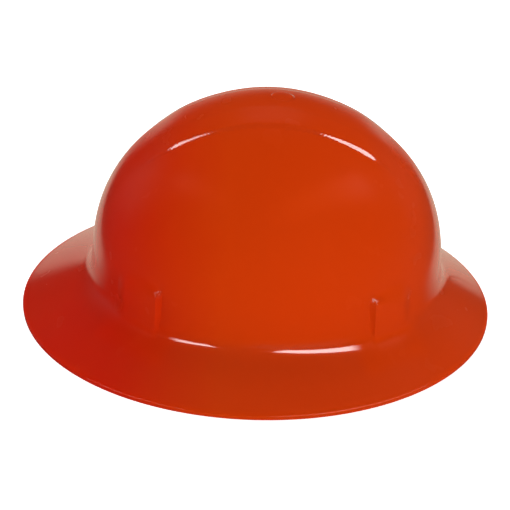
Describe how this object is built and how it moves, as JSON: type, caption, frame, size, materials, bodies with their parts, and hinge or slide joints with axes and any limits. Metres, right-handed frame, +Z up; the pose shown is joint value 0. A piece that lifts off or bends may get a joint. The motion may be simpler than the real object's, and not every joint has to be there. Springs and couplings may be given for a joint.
{
  "type": "full brim hard hat",
  "caption": "Glossy moulded safety helmet with a brim all round, on a crossed webbing suspension whose headband a knob and toothed racks draw in.",
  "frame": {"origin": "middle of the brim's length and width, in the plane its rim rests on", "axes": "+X towards the wearer's back, +Y to the wearer's right as the hat is worn facing -X, +Z up through the crown"},
  "size_m": [0.35, 0.291, 0.164],
  "materials": {
    "shell": "glossy moulded red-orange polyethylene",
    "suspension": "satin light grey nylon",
    "webbing": "woven light grey webbing",
    "brow_pad": "black knitted fabric over foam",
    "nape_pad": "black knitted fabric over foam",
    "ratchet": "satin black moulded plastic",
    "gear": "natural acetal",
    "screws": "zinc plated steel"
  },
  "bodies": {
    "helmet": {"shell": "shell", "front_left_key": "suspension", "front_right_key": "suspension", "rear_left_key": "suspension", "rear_right_key": "suspension", "crown_strap_lower": "webbing", "crown_strap_upper": "webbing", "headband": "suspension", "brow_pad": "brow_pad"},
    "nape": {"nape_arm_left": "suspension", "nape_arm_right": "suspension", "pivot_button_left": "ratchet", "pivot_button_right": "ratchet"},
    "ratchet": {"ratchet_housing": "ratchet", "ratchet_cover": "ratchet", "cover_screws": "screws", "nape_pad": "nape_pad"},
    "knob": {"ratchet_knob": "ratchet", "pinion": "gear", "click_spring": "gear", "knob_screw": "screws"},
    "left_rack": {"rack_left": "suspension"},
    "right_rack": {"rack_right": "suspension"}
  },
  "joints": [
    {"name": "nape_tilt", "type": "hinge", "parent": "helmet", "child": "nape", "pos_m": [-0.01, 0, 0.022], "axis": [0, 1, 0], "range_deg": [0, 25]},
    {"name": "band_size", "type": "slide", "parent": "nape", "child": "ratchet", "axis": [1, 0, 0], "range_m": [0, 0.02], "deforming": ["nape_arm_left", "nape_arm_right"]},
    {"name": "knob_turn", "type": "hinge", "parent": "ratchet", "child": "knob", "pos_m": [0.0129, 0, 0.022], "axis": [1, 0, 0], "range_deg": [-240, 0]},
    {"name": "left_rack_travel", "type": "hinge", "parent": "ratchet", "child": "left_rack", "pos_m": [0.0129, 0, 0.022], "axis": [0, 0, 1], "range_deg": [-22.95, 0]},
    {"name": "right_rack_travel", "type": "hinge", "parent": "ratchet", "child": "right_rack", "pos_m": [0.0129, 0, 0.022], "axis": [0, 0, 1], "range_deg": [0, 23.61]}
  ],
  "couplings": [
    {"joint": "knob_turn", "follows": "band_size", "rad_per_m": -209.44},
    {"joint": "left_rack_travel", "follows": "band_size", "rad_per_m": -20.026},
    {"joint": "right_rack_travel", "follows": "band_size", "rad_per_m": 20.601}
  ]
}
